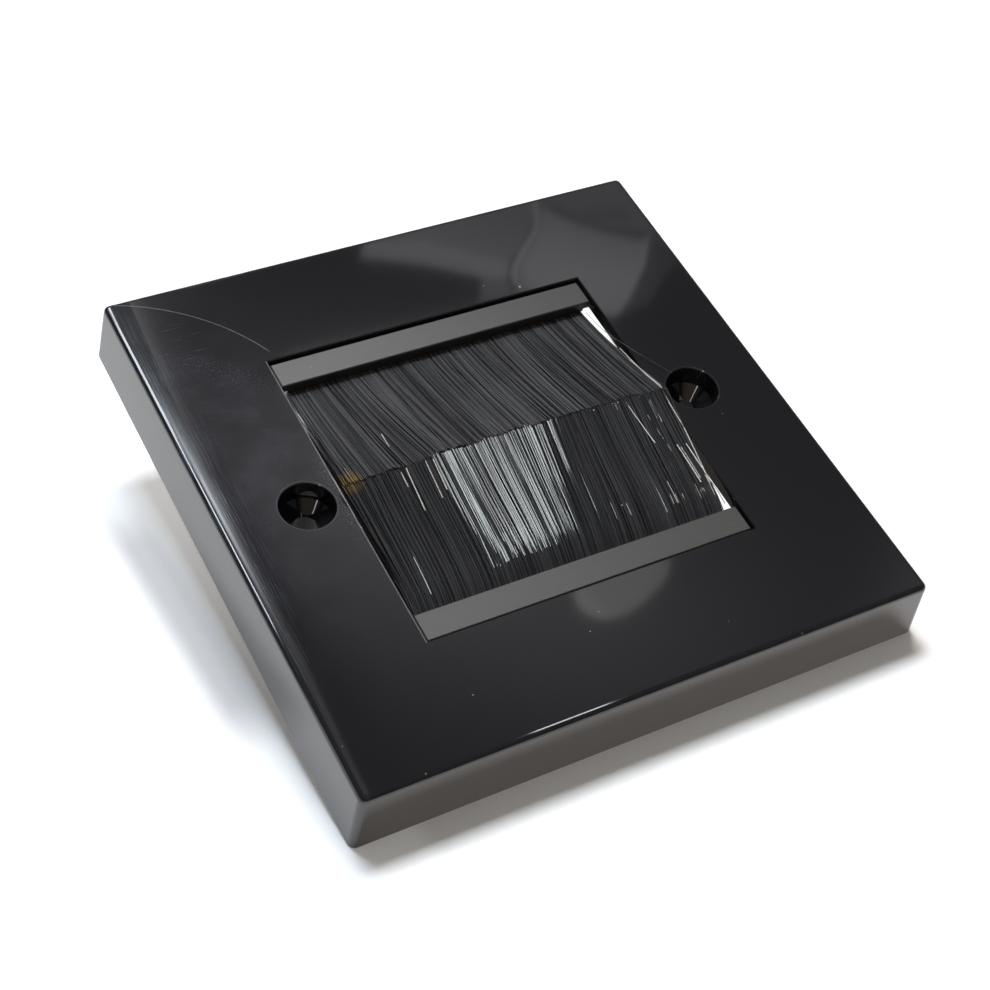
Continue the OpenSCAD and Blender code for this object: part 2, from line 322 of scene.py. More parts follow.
lamp_panel("warm_over", direction(73, 59), 0.30, 0.30, 18.0, (1, 0.92, 0.865), False)
lamp_panel("cool_over", direction(96, 60), 0.30, 0.30, 24.0, (0.76, 0.88, 1.0), False)
lamp_panel("warm_key", direction(12, 47), 0.30, 0.30, 6.0, (1, 0.955, 0.90), True)
lamp_panel("cool_window", direction(119, 43), 0.60, 0.27, 12.0, (0.84, 0.92, 1.0), True)

# %% [markdown]
# ## What the gloss mirrors
# The polished face is a mirror, so most of what shows on it is the room. These cards are
# the room: they glow, and only the gloss can see them. A card is a flat mesh that faces the
# plate; its X runs to the left as the plate sees it and its Y runs up.

# %% Cards that only the gloss can see
def glow_material(name, colour):
    material, tree, shader = start_material(name)
    tree.nodes.remove(shader)
    glow = add_node(tree, "ShaderNodeEmission", inputs={"Color": (*colour, 1)})
    join(tree, glow.outputs[0], tree.nodes["Material Output"].inputs["Surface"])
    return material, tree, glow


def place_card(card, towards, distance, material, turn=0.0):
    card.location = towards * distance
    card.rotation_mode = "QUATERNION"
    card.rotation_quaternion = towards.to_track_quat("Z", "Y") @ Quaternion((0, 0, 1), math.radians(turn))
    card.data.materials.append(material)
    card.visible_camera = card.visible_diffuse = card.visible_shadow = card.visible_transmission = False
    print("card", card.name, "stands", round(distance, 3), "m away")


def plane_card(name, towards, distance, left, right, low, high, material):
    bpy.ops.object.select_all(action="DESELECT")
    bpy.ops.mesh.primitive_plane_add(size=1, location=((left + right) / 2, (low + high) / 2, 0))
    card = bpy.context.object
    card.name = name
    card.scale = (abs(left - right), high - low, 1)
    bpy.ops.object.transform_apply(location=True, rotation=False, scale=True)
    place_card(card, towards, distance, material)


def outline_card(name, towards, distance, outline, material, turn=0.0):
    mesh = bpy.data.meshes.new(name)
    mesh.from_pydata([(u * mm, v * mm, 0) for u, v in outline], [], [tuple(range(len(outline)))])
    card = bpy.data.objects.new(name, mesh)
    bpy.context.scene.collection.objects.link(card)
    place_card(card, towards, distance, material, turn)


# %% Soft spots and rings of light
def soft_spot(tree, x, y, middle, spread, strength):
    parts = []
    for value, centre, size in ((x, middle[0], spread[0]), (y, middle[1], spread[1])):
        share = calculate(tree, "DIVIDE", minus(tree, value, centre), size)
        parts.append(calculate(tree, "POWER", share, 2))
    fall = calculate(tree, "EXPONENT", times(tree, plus(tree, *parts), -1))
    return times(tree, fall, strength)


def ring_reach(tree, x, y, centre, radius):
    across, along = minus(tree, x, centre[0]), minus(tree, y, centre[1])
    square = plus(tree, times(tree, across, across), times(tree, along, along))
    return minus(tree, calculate(tree, "SQRT", square), radius)


# %% Dim wall behind the plate, lighter on the left and darker on the right
mirror_way = direction(51, 49)
wall_far = 1.0
material, tree, glow = glow_material("dim_wall", (1.0, 0.98, 1.04))
x, y = flat_place(tree)
wall_spots = [((0.13, 0.07), (0.16, 0.09), 0.45), ((-0.06, 0.10), (0.15, 0.085), 0.28),
              ((-0.31, 0.03), (0.045, 0.10), 0.35), ((0.36, 0.05), (0.07, 0.40), 1.4)]
wall_base = 0.05
spots = [soft_spot(tree, x, y, *spot) for spot in wall_spots]
join(tree, plus(tree, *spots, wall_base), glow.inputs["Strength"])
plane_card("dim_wall", mirror_way, wall_far, 0.33, -0.60, -0.45, 0.45, material)

# %% Glow round the window, which the rounded left edge mirrors
material, tree, glow = glow_material("window_glow", (0.90, 0.95, 1.0))
x, y = flat_place(tree)
glow_spots = [((0.0, 0.18), (0.035, 0.06), 8.5), ((-0.05, 0.17), (0.11, 0.075), 2.8)]
glow_base = 0.42
spots = [soft_spot(tree, x, y, *spot) for spot in glow_spots]
join(tree, plus(tree, *spots, glow_base), glow.inputs["Strength"])
plane_card("window_glow", direction(96, 47), 1.15, 0.25, -0.34, -0.25, 0.48, material)

# %% Low wall behind, which the rising strands of the upper comb mirror
material, tree, glow = glow_material("low_wall", (1.0, 1.0, 1.03))
glow.inputs["Strength"].default_value = 0.35
plane_card("low_wall", direction(58, 14), 1.1, 0.5, -0.5, -0.28, 0.20, material)

# %% Folded screen
# A panel has how far it stands in front, in metres, its glow, and its outline in centimetres.
screen_panels = {
    "left": (0.002, 0.80, [(2.7, -20), (2.5, -13.9), (2.9, -12.3), (3.2, -11.6), (9.1, -11.5), (15, -10.4),
                           (15, -20)]),
    "sliver": (0.002, 1.15, [(13, -10.6), (9.1, -11.5), (3.2, -11.6), (3.1, -10.4), (4.8, -10.1),
                             (8.7, -9.9), (13, -9.4)]),
    "foot": (0.003, 0.65, [(4.8, -10.1), (3.1, -10.4), (2.8, -9.9), (2.0, -9.5), (4.6, -8.6)]),
    "right": (0.002, 1.25, [(2.2, -16), (1.7, -14.2), (2.2, -12.4), (2.5, -11.1), (1.4, -10), (-2, -9),
                            (-4.6, -9.8), (-5, -11), (-5.5, -13.6), (-5.3, -15.2), (-2.2, -15),
                            (0.5, -15.2)]),
    "corner": (0.002, 0.72, [(2.4, -16.1), (-0.7, -15.5), (-2.2, -15.5), (-5.4, -15.8), (-8, -14.5),
                             (-11, -16), (-6, -23), (2.4, -23)]),
    "beside": (0.003, 0.28, [(-5.5, -15.6), (-5.7, -13.6), (-5.1, -11), (-4.8, -10), (-6.5, -11.2),
                             (-6.9, -13.1), (-7.6, -14.3)]),
    "left_fold": (0.004, 1.65, [(2.8, -16), (2.2, -14.2), (2.7, -12.4), (3.0, -11.1), (2.7, -10.4),
                                (1.9, -9.8), (1.6, -10), (2.3, -10.6), (2.6, -11.1), (2.3, -12.4),
                                (1.8, -14.2), (2.4, -16)]),
    "right_fold": (0.004, 1.5, [(-5.1, -15.4), (-5.2, -13.6), (-4.7, -11.1), (-4.3, -9.9), (-4.6, -9.8),
                                (-5.05, -11.1), (-5.6, -13.6), (-5.45, -15.4)]),
    "crease": (0.005, 0.42, [(2.4, -16.1), (0.9, -15.6), (-0.7, -15.35), (-2.2, -15.35), (-5.4, -15.7),
                             (-5.3, -15.4), (-2.2, -15.0), (-0.7, -15.0), (0.9, -15.2), (2.3, -15.7)]),
    "shade": (0.003, 0.45, [(-0.5, -16), (-3.5, -16.8), (-4, -16.3), (-0.6, -15.7)]),
}
corners, panels, tones = [], [], []
for near, tone, outline in screen_panels.values():
    panels.append(tuple(range(len(corners), len(corners) + len(outline))))
    corners += [(u * 10 * mm, v * 10 * mm, -near) for u, v in outline]
    tones += [tone] * len(outline)
mesh = bpy.data.meshes.new("folded_screen")
mesh.from_pydata(corners, [], panels)
mesh.attributes.new("glow", "FLOAT", "POINT").data.foreach_set("value", tones)
screen = bpy.data.objects.new("folded_screen", mesh)
bpy.context.scene.collection.objects.link(screen)
material, tree, glow = glow_material("screen_glow", (0.97, 0.98, 1.03))
written = add_node(tree, "ShaderNodeAttribute", attribute_name="glow")
x, y = flat_place(tree)
shade = remap(tree, y, -0.155, -0.115, 0.72, 1.0)
join(tree, times(tree, written.outputs["Fac"], shade), glow.inputs["Strength"])
place_card(screen, mirror_way, wall_far, material)
print("the screen has", len(panels), "panels")

# %% Light that only the bars catch, because the face has its opening where it would show
opening_outline = [(160, -10), (-10, -103), (-150, 8), (22, 124)]
material, tree, glow = glow_material("opening_glow", (1.0, 1.0, 1.0))
x, y = flat_place(tree)
sideways = plus(tree, x, times(tree, y, -0.25))
join(tree, remap(tree, sideways, -0.16, 0.20, 0.3, 8.0), glow.inputs["Strength"])
outline_card("opening_glow", mirror_way, wall_far - 0.008, opening_outline, material)

# %% Round lamp with a brighter rim
lamp_middle, lamp_reach = (-0.094, 0.064), 0.030
lamp_outline = [(-62, 84), (-63.5, 90), (-68, 96), (-75, 99.5), (-84, 100), (-93, 97), (-102, 91),
                (-110, 81), (-117, 69), (-120.5, 60), (-120, 50), (-100, 46), (-75, 62)]
material, tree, glow = glow_material("round_lamp", (1, 0.99, 0.96))
x, y = flat_place(tree)
rim = remap(tree, ring_reach(tree, x, y, lamp_middle, lamp_reach), -0.004, 0.006, 0.0, 0.45)
join(tree, plus(tree, rim, remap(tree, y, 0.045, 0.1, 1.25, 1.45)), glow.inputs["Strength"])
outline_card("round_lamp", mirror_way, wall_far - 0.010, lamp_outline, material)

# %% Small bright window with one dark bar, which the strands of the lower comb mirror
window_way = Vector((0.405, 0.25, 0.88)).normalized()
window_far, window_turn, window_glow = 0.9, -28.5, 12.0
window_outline = [(-340, 54), (15, 50), (15, 2), (-340, 2)]
pane_colour, bar_colour = (0.90, 0.98, 0.97), (0.12, 0.10, 0.085)
bar_height, bar_slope = 0.0178, 0.065
material, tree, glow = glow_material("small_window", pane_colour)
x, y = flat_place(tree)
from_bar = minus(tree, plus(tree, times(tree, x, bar_slope), y), bar_height)
frame_bar = times(tree, remap(tree, calculate(tree, "ABSOLUTE", from_bar), 0.0018, 0.0055, 0.9, 0.0),
                  remap(tree, x, -0.08, -0.05))
join(tree, mix_colours(tree, frame_bar, pane_colour, bar_colour), glow.inputs["Color"])
glow.inputs["Strength"].default_value = window_glow
outline_card("small_window", window_way, window_far, window_outline, material, window_turn)

# %% Dim warm room behind the camera, which the cones of the screw holes mirror
material, tree, glow = glow_material("room_behind", (1.0, 0.84, 0.68))
x, y = flat_place(tree)
upward = remap(tree, y, -0.40, 0.30, 0.08, 0.38)
sideways = remap(tree, calculate(tree, "ABSOLUTE", x), 0.2, 1.1, 1.0, 0.0)
join(tree, times(tree, upward, sideways), glow.inputs["Strength"])
plane_card("room_behind", direction(232, 38), 1.3, 1.15, -1.15, -0.45, 0.6, material)

# %% Narrow lamp on the camera's side, which runs down the cones of the screw holes
material, tree, glow = glow_material("narrow_lamp", (0.95, 0.97, 1.0))
glow.inputs["Strength"].default_value = 6.0
plane_card("narrow_lamp", direction(207, 40), 1.0, 0.03, -0.03, -0.22, 0.22, material)

# %% [markdown]
# ## Black gloss moulding
# The plate is moulded in polished black plastic. Its colour is nearly black, so what the eye
# sees is the room, and the finish lies in the flaws of that mirror. The face is crowned a
# little towards its outer edges, as such a moulding is, so the left edge picks up the window.
# One long curved scratch, finer rubbed ones, a bluish haze and a few specks of dust are on
# the face as in the photo.
# A painted highlight lines the opening's left edge and, more faintly, the rims of the screw holes.

# %% Masks on the face, in millimetres
def line_mask(tree, distance, width):
    return remap(tree, calculate(tree, "ABSOLUTE", distance), 0.3 * width, width, 1.0, 0.0)


def stretched_noise(tree, place, turn, scale, low, high):
    rotation = (0, 0, math.radians(turn))
    turned = add_node(tree, "ShaderNodeMapping", inputs={"Rotation": rotation, "Scale": scale})
    join(tree, place, turned.inputs["Vector"])
    noise = add_node(tree, "ShaderNodeTexNoise", inputs={"Scale": 1.0, "Detail": 2.0})
    join(tree, turned.outputs[0], noise.inputs["Vector"])
    return remap(tree, noise.outputs["Fac"], low, high)


def dust(tree, place, cell, size, share):
    cells = add_node(tree, "ShaderNodeTexVoronoi", inputs={"Scale": 1 / cell, "Randomness": 1.0})
    join(tree, place, cells.inputs["Vector"])
    split = add_node(tree, "ShaderNodeSeparateColor")
    join(tree, cells.outputs["Color"], split.inputs[0])
    reach = times(tree, split.outputs["Green"], size / cell)
    speck = calculate(tree, "LESS_THAN", cells.outputs["Distance"], reach)
    return times(tree, speck, calculate(tree, "LESS_THAN", split.outputs["Red"], share))


# %% Haze: rubbed and dusty regions at the left of the face
# Each soft spot has its middle, its spread across and along, and its strength.
band_slope, band_height = 0.75, 1.5


def haze_on_face(tree, place, x, y):
    streaks = stretched_noise(tree, place, -62, (0.25, 4.0, 1.0), 0.60, 0.78)
    scuffs = times(tree, streaks, soft_spot(tree, x, y, (-35, 31), (4.5, 4.5), 0.55))
    brushed = stretched_noise(tree, place, 0, (6.0, 0.12, 1.0), 0.45, 0.75)
    edge_haze = times(tree, brushed, soft_spot(tree, x, y, (-41.6, 12), (3.2, 26), 0.75))
    speckle = stretched_noise(tree, place, 30, (4.5, 6.0, 1.0), 0.54, 0.80)
    band = minus(tree, plus(tree, times(tree, x, band_slope), y), band_height)
    band_haze = times(tree, speckle, soft_spot(tree, band, x, (0, -31.5), (2.3, 5.5), 1.0))
    slot_haze = times(tree, speckle, soft_spot(tree, x, y, (-25.4, -1), (1.6, 7), 0.8))
    hairs = stretched_noise(tree, place, -58, (0.3, 7.0, 1.0), 0.58, 0.80)
    clouds = stretched_noise(tree, place, -50, (0.14, 0.2, 1.0), 0.25, 0.75)
    wide = plus(tree, times(tree, hairs, 1.1), clouds)
    wide_haze = times(tree, wide, soft_spot(tree, x, y, (-34, 12), (9, 26), 0.14))
    return plus(tree, scuffs, edge_haze, band_haze, slot_haze, wide_haze)


# %% Lines: the curved scratch, which is real, and painted highlights along the opening's left edge and the rims of the screw holes
scratch_middle, scratch_reach = (-51.25, 13.24), 30.42
hole_x, hole_reach, opening_edge = 30.15, 3.98, 25.1


def scratch_and_painted_highlights(tree, x, y):
    arc = line_mask(tree, ring_reach(tree, x, y, scratch_middle, scratch_reach), 0.11)
    arc = times(tree, arc, remap(tree, y, 26.4, 27.2), remap(tree, x, -41.4, -40.6))
    on_edge = calculate(tree, "LESS_THAN", calculate(tree, "ABSOLUTE", y), opening_edge)
    painted_edge_highlight = times(tree, line_mask(tree, plus(tree, x, opening_edge), 0.2), on_edge)
    left_rim = line_mask(tree, ring_reach(tree, x, y, (-hole_x, 0), hole_reach), 0.15)
    right_rim = line_mask(tree, ring_reach(tree, x, y, (hole_x, 0), hole_reach), 0.15)
    painted_rim_highlight = calculate(tree, "MAXIMUM", left_rim, times(tree, right_rim, 0.3))
    # Painted highlight: a light line along the opening's left edge and fainter ones round the screw-hole
    # rims.
    painted_highlights = plus(tree, times(tree, painted_edge_highlight, 0.22), times(tree, painted_rim_highlight, 0.07))
    return calculate(tree, "MAXIMUM", painted_highlights, times(tree, arc, 0.17))


# %% Gloss plastic with a crowned face
gloss_black, haze_colour = (0.011, 0.0105, 0.0115), (0.085, 0.095, 0.125)
scratch_and_highlight_colour, speck_colour = (0.50, 0.52, 0.55), (0.55, 0.55, 0.56)
crown_start, crown_slope, crown_fade = 41.6, 0.21, 2.0
wave_height = 0.02
gloss_rough = 0.045


def crown_height(tree, value):
    inside = plus(tree, value, crown_start)
    share = calculate(tree, "DIVIDE", calculate(tree, "MAXIMUM", inside, 0.0), -crown_fade)
    drop = times(tree, calculate(tree, "EXPONENT", share), -crown_slope * crown_fade)
    return plus(tree, times(tree, calculate(tree, "MINIMUM", inside, 0.0), crown_slope), drop)


def gloss_plastic(name):
    material, tree, shader = start_material(name)
    scaled = add_node(tree, "ShaderNodeVectorMath", operation="SCALE", inputs={"Scale": 1 / mm})
    join(tree, object_place(tree), scaled.inputs[0])
    place = scaled.outputs[0]
    split = add_node(tree, "ShaderNodeSeparateXYZ")
    join(tree, place, split.inputs[0])
    x, y, z = split.outputs

    waves = add_node(tree, "ShaderNodeTexNoise", inputs={"Scale": 0.035, "Detail": 1.0})
    join(tree, place, waves.inputs["Vector"])
    height = plus(tree, times(tree, waves.outputs["Fac"], wave_height), crown_height(tree, x))
    bump = add_node(tree, "ShaderNodeBump", inputs={"Strength": 1.0, "Distance": mm})
    join(tree, height, bump.inputs["Height"])
    join(tree, bump.outputs["Normal"], shader.inputs["Normal"])

    on_face = remap(tree, z, 9.7, 9.9)
    haze = times(tree, haze_on_face(tree, place, x, y), on_face)
    # These lines carry the real scratch and the painted highlights together.
    lines = times(tree, scratch_and_painted_highlights(tree, x, y), on_face)
    small_specks = times(tree, dust(tree, place, 2.6, 0.12, 0.25), 0.6)
    specks = calculate(tree, "MAXIMUM", dust(tree, place, 7.0, 0.22, 0.35), small_specks)
    colour = mix_colours(tree, calculate(tree, "MINIMUM", haze, 1.0), gloss_black, haze_colour)
    # The scratch and the painted highlights share one light colour.
    colour = mix_colours(tree, lines, colour, scratch_and_highlight_colour)
    colour = mix_colours(tree, times(tree, specks, 0.5), colour, speck_colour)
    join(tree, colour, shader.inputs["Base Color"])
    rough = plus(tree, times(tree, haze, 0.25), times(tree, lines, 0.3), gloss_rough)
    join(tree, rough, shader.inputs["Roughness"])
    shader.inputs["IOR"].default_value = 1.56
    return material


# %% Matt plastic of the bars, under a lighter film, partly dust and partly painted light, that thins to the right
bar_black, bar_light, dust_and_light_film_colour = (0.014, 0.013, 0.012), (0.022, 0.021, 0.020), (0.112, 0.110, 0.108)


def matt_plastic(name):
    material, tree, shader = start_material(name)
    place = object_place(tree)
    grain = add_node(tree, "ShaderNodeTexNoise", inputs={"Scale": 6000.0, "Detail": 2.0})
    join(tree, place, grain.inputs["Vector"])
    bump = add_node(tree, "ShaderNodeBump", inputs={"Strength": 0.3, "Distance": 0.000004})
    join(tree, grain.outputs["Fac"], bump.inputs["Height"])
    join(tree, bump.outputs["Normal"], shader.inputs["Normal"])
    drawn = stretched_noise(tree, place, 0, (150.0, 5000.0, 5000.0), 0.2, 0.8)
    colour = mix_colours(tree, drawn, bar_black, bar_light)
    split = add_node(tree, "ShaderNodeSeparateXYZ")
    join(tree, place, split.inputs[0])
    x, y, z = split.outputs
    # The film lies on the tops only: lightest at the left of the upper bar, thinner to the right and on
    # the lower bar. Its lightness is partly dust and partly painted light.
    on_top = remap(tree, z, 9.38 * mm, 9.49 * mm)
    dust_and_light_film = times(tree, remap(tree, x, -27 * mm, 27 * mm, 1.0, 0.30),
                 remap(tree, y, -5 * mm, 5 * mm, 0.66, 1.0), on_top)
    colour = mix_colours(tree, dust_and_light_film, colour, dust_and_light_film_colour)
    specks = dust(tree, place, 0.004, 0.00015, 0.4)
    colour = mix_colours(tree, times(tree, specks, 0.5), colour, (0.5, 0.5, 0.5))
    join(tree, colour, shader.inputs["Base Color"])
    shader.inputs["Roughness"].default_value = 0.46
    return material


# %% Galvanised sheet and wire
def strip_steel(name):
    material, tree, shader = start_material(name)
    place = object_place(tree)
    drawn = add_node(tree, "ShaderNodeMapping", inputs={"Scale": (60.0, 3000.0, 3000.0)})
    join(tree, place, drawn.inputs["Vector"])
    lines = add_node(tree, "ShaderNodeTexNoise", inputs={"Scale": 1.0, "Detail": 3.0})
    join(tree, drawn.outputs[0], lines.inputs["Vector"])
    join(tree, remap(tree, lines.outputs["Fac"], 0.3, 0.7, 0.28, 0.45), shader.inputs["Roughness"])
    shader.inputs["Base Color"].default_value = (0.60, 0.61, 0.62, 1)
    shader.inputs["Metallic"].default_value = 1
    return material


# %% Black nylon of the filament
# A strand's tone runs from 0, dark, to 1, lighter; a tone of 2 is a strand with a painted glint, its
# colour lifted to a light highlight colour.
nylon_dark, nylon_light, nylon_painted_glint = (0.013, 0.013, 0.014), (0.080, 0.080, 0.083), (0.62, 0.61, 0.58)
# A golden tint on the strands near the left end of the seam, fading out round one point.
golden_tint_colour = (0.16, 0.105, 0.035)
golden_tint_place = (-23.9 * mm, 0.9 * mm, 11.2 * mm)
golden_tint_reach = 2.4 * mm


def nylon(name):
    material, tree, shader = start_material(name)
    place = object_place(tree)
    tone = add_node(tree, "ShaderNodeAttribute", attribute_name="tone").outputs["Fac"]
    colour = mix_colours(tree, calculate(tree, "MINIMUM", tone, 1.0), nylon_dark, nylon_light)
    away = add_node(tree, "ShaderNodeVectorMath", operation="DISTANCE", inputs={1: golden_tint_place})
    join(tree, place, away.inputs[0])
    golden_tint = remap(tree, away.outputs["Value"], 0.3 * golden_tint_reach, golden_tint_reach, 0.75, 0.0)
    colour = mix_colours(tree, golden_tint, colour, golden_tint_colour)
    specks = dust(tree, place, 0.0045, 0.00016, 0.35)
    colour = mix_colours(tree, times(tree, specks, 0.7), colour, (0.6, 0.6, 0.6))
    # Painted highlight: tones above 1 lift a strand's colour towards the glint colour.
    colour = mix_colours(tree, remap(tree, tone, 1.0, 2.0), colour, nylon_painted_glint)
    join(tree, colour, shader.inputs["Base Color"])
    shader.inputs["Roughness"].default_value = 0.05
    shader.inputs["IOR"].default_value = 1.55
    return material


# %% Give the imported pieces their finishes
finishes = {
    "plate_gloss": gloss_plastic("black_gloss"),
    "bar_matte": matt_plastic("matt_bar"),
    "strip_steel": strip_steel("galvanised_sheet"),
    "wire_steel": strip_steel("drawn_wire"),
    "filament": nylon("black_nylon"),
}
for part in frame["record"]["subparts"]:
    node = frame["nodes"][part["node"]]
    node.data.materials.clear()
    node.data.materials.append(finishes[part["material_slot"]])
print("finished", len(frame["nodes"]), "packed pieces")

# %% [markdown]
# ## One strand
# A comb is thousands of strands, so one strand is modelled once, with few faces, and
# every other strand is a bent copy of it. It starts as a flat hexagon that lies along
# Z. Its two top corners are pulled apart, because strands that lie side by side show a
# flattened top, and it is then extruded in steps, so that it can bend.

# %% Model the strand
strand_steps = 7
top_flare = 1.4

bpy.ops.object.select_all(action="DESELECT")
bpy.ops.mesh.primitive_circle_add(vertices=6, radius=0.5, fill_type="NGON",
                                  rotation=(0, 0, math.radians(30)))
strand = bpy.context.object
strand.name = "one_strand"
bpy.ops.object.transform_apply(location=False, rotation=True, scale=False)
top_edge = max(vertex.co.y for vertex in strand.data.vertices)
for vertex in strand.data.vertices:
    vertex.select = vertex.co.y > top_edge - 0.01
for edge in strand.data.edges:
    edge.select = all(strand.data.vertices[i].select for i in edge.vertices)
for polygon in strand.data.polygons:
    polygon.select = False
bpy.ops.object.mode_set(mode="EDIT")
bpy.ops.transform.resize(value=(top_flare, 1, 1))
bpy.ops.mesh.select_all(action="SELECT")
for step in range(strand_steps):
    bpy.ops.mesh.extrude_region_move(TRANSFORM_OT_translate={"value": (0, 0, 1 / strand_steps)})
bpy.ops.mesh.select_all(action="SELECT")
bpy.ops.mesh.normals_make_consistent(inside=False)
bpy.ops.object.mode_set(mode="OBJECT")
template = np.array([vertex.co[:] for vertex in strand.data.vertices])
template_faces = [tuple(polygon.vertices) for polygon in strand.data.polygons]
print("one strand has", len(template), "corners and", len(template_faces), "faces")
bpy.data.objects.remove(strand)

# %% [markdown]
# ## Bend copies of it
# A strand's middle line is a list of points. Each copy is laid along such a line: its
# length follows the line, its top stays up, and a small roll turns it about itself. The
# long edges are kept sharp and all others are smooth, so that light runs along a strand
# without steps.

# %% Lay copies of the strand along many lines
def lay_strands(name, lines, widths, rolls, tones):
    count, stations = lines.shape[:2]
    along = np.gradient(lines, axis=1)
    along /= np.linalg.norm(along, axis=2, keepdims=True)
    across = np.cross(np.array([0.0, 0.0, 1.0]), along)
    across /= np.linalg.norm(across, axis=2, keepdims=True)
    upward = np.cross(along, across)
    cos_roll, sin_roll = np.cos(rolls)[:, :, None], np.sin(rolls)[:, :, None]
    across, upward = across * cos_roll + upward * sin_roll, upward * cos_roll - across * sin_roll
    station = np.rint(template[:, 2] * (stations - 1)).astype(int)
    corners = (lines[:, station]
               + across[:, station] * (template[:, 0] * widths[:, None])[:, :, None]
               + upward[:, station] * (template[:, 1] * widths[:, None])[:, :, None])
    sizes = np.array([len(face) for face in template_faces])
    loops = np.concatenate([np.array(face) for face in template_faces])
    starts = np.concatenate([[0], np.cumsum(sizes)[:-1]])
    shift = np.arange(count)[:, None]
    mesh = bpy.data.meshes.new(name)
    mesh.vertices.add(count * len(template))
    mesh.vertices.foreach_set("co", corners.reshape(-1))
    mesh.loops.add(count * len(loops))
    mesh.loops.foreach_set("vertex_index", (loops[None] + shift * len(template)).reshape(-1))
    mesh.polygons.add(count * len(sizes))
    mesh.polygons.foreach_set("loop_start", (starts[None] + shift * len(loops)).reshape(-1))
    mesh.update(calc_edges=True)
    ends = np.empty(len(mesh.edges) * 2, int)
    mesh.edges.foreach_get("vertices", ends)
    level = template[ends.reshape(-1, 2) % len(template), 2]
    sharp = (level[:, 0] != level[:, 1]) | (level[:, 0] < 0.01) | (level[:, 0] > 0.99)
    mesh.attributes.new("sharp_edge", "BOOLEAN", "EDGE").data.foreach_set("value", sharp)
    tone = mesh.attributes.new("tone", "FLOAT", "POINT")
    tone.data.foreach_set("value", np.repeat(tones, len(template)))
    mesh.polygons.foreach_set("use_smooth", np.ones(len(mesh.polygons), bool))
    mesh.validate()
    piece = bpy.data.objects.new(name, mesh)
    bpy.context.scene.collection.objects.link(piece)
    piece.data.materials.append(finishes["filament"])
    print(name, count, "strands,", count * sum(size - 2 for size in sizes), "triangles")
    return piece


# %% [markdown]
# ## Two combs
# A strip brush is a bundle of filament folded over a core wire and gripped by a folded
# channel. The bundle inside the channel is made first, because it shows at the strip's
# ends. Outside the jaws the strands rise to the ridge. The upper comb rises steadily. The
# lower comb bends up just inside its bar and then runs nearly level, and that level stretch
# is what mirrors the small window. Strands lean to the right, gather in clumps towards
# their tips and stop at a ragged seam. A few wild ones leave their neighbours.

# %% Sizes of the combs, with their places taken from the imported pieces
jaw_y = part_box("upper_channel")[0].y
root_start = jaw_y + 0.3 * mm
bar_in_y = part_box("upper_holder")[0].y
root_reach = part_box("upper_core_wire")[1].x
wire_low, wire_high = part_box("upper_core_wire")
wire_y, wire_z = (wire_low.y + wire_high.y) / 2, (wire_low.z + wire_high.z) / 2
wire_r = (wire_high.y - wire_low.y) / 2
grip_gap = 0.05 * mm
sheet_t = 0.4 * mm
root_low_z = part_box("upper_channel")[0].z + sheet_t + grip_gap
root_top_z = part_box("upper_channel")[1].z - sheet_t - grip_gap
ridge_z = solid_box[1][2]
top_z = ridge_z - 0.1 * mm
crest_gap, ridge_sag = 0.12 * mm, 1.2 * mm
seam_y = 0.3 * mm
opening_half = 25 * mm
strand_width = 0.165 * mm
strand_layers = 6
strands_across = 335
stations = np.array([0, 0.045, 0.10, 0.17, 0.27, 0.42, 0.65, 1.0])
print("bundle", round((root_top_z - root_low_z) / mm, 2), "mm thick")
print("ridge at", round(ridge_z / mm, 2), "mm")

# %% Bundle folded over the core wire, inside the channel
rod_sides, bore_sides, bundle_tone = 48, 32, 0.1


def cut_with(piece, operation, cutter):
    change = piece.modifiers.new(operation.lower(), "BOOLEAN")
    change.operation = operation
    change.solver = "EXACT"
    change.object = cutter
    bpy.context.view_layer.objects.active = piece
    bpy.ops.object.modifier_apply(modifier=change.name)
    bpy.data.objects.remove(cutter)


def rod(radius, length, y, sides):
    bpy.ops.object.select_all(action="DESELECT")
    bpy.ops.mesh.primitive_cylinder_add(vertices=sides, radius=radius, depth=length,
                                        location=(0, y, wire_z), rotation=(0, math.radians(90), 0))
    bpy.ops.object.transform_apply(location=True, rotation=True, scale=True)
    return bpy.context.object


def root_bundle(name, side):
    thick = (root_top_z - root_low_z) / 2
    piece = rod(thick, 2 * root_reach, side * wire_y, rod_sides)
    piece.name = name
    bpy.ops.object.select_all(action="DESELECT")
    bpy.ops.mesh.primitive_cube_add(size=1, location=(0, side * (jaw_y + wire_y) / 2, wire_z))
    block = bpy.context.object
    block.scale = (2 * root_reach, wire_y - jaw_y, 2 * thick)
    bpy.ops.object.transform_apply(location=True, rotation=False, scale=True)
    cut_with(piece, "UNION", block)
    cut_with(piece, "DIFFERENCE", rod(wire_r + grip_gap, 3 * root_reach, side * wire_y, bore_sides))
    tone = piece.data.attributes.new("tone", "FLOAT", "POINT")
    tone.data.foreach_set("value", [bundle_tone] * len(piece.data.vertices))
    piece.data.materials.append(finishes["filament"])
    return piece


# %% Rise of the two combs, as a share of the whole, from the bar to the tip
# A quick rise bends within a short run. A steady one has none, and takes the run unused.
usual_run = 0.15
bent_share = 0.55
steady_power = 1.25


def steady_rise(share, run):
    return share ** steady_power


def quick_rise(share, run):
    return bent_share * (1 - np.exp(-share / run)) + (1 - bent_share) * share ** 2


# %% Height of the ridge, which is highest in the middle and lower at both ends
def crest_height(x):
    return ridge_z - crest_gap - ridge_sag * (x / opening_half) ** 2


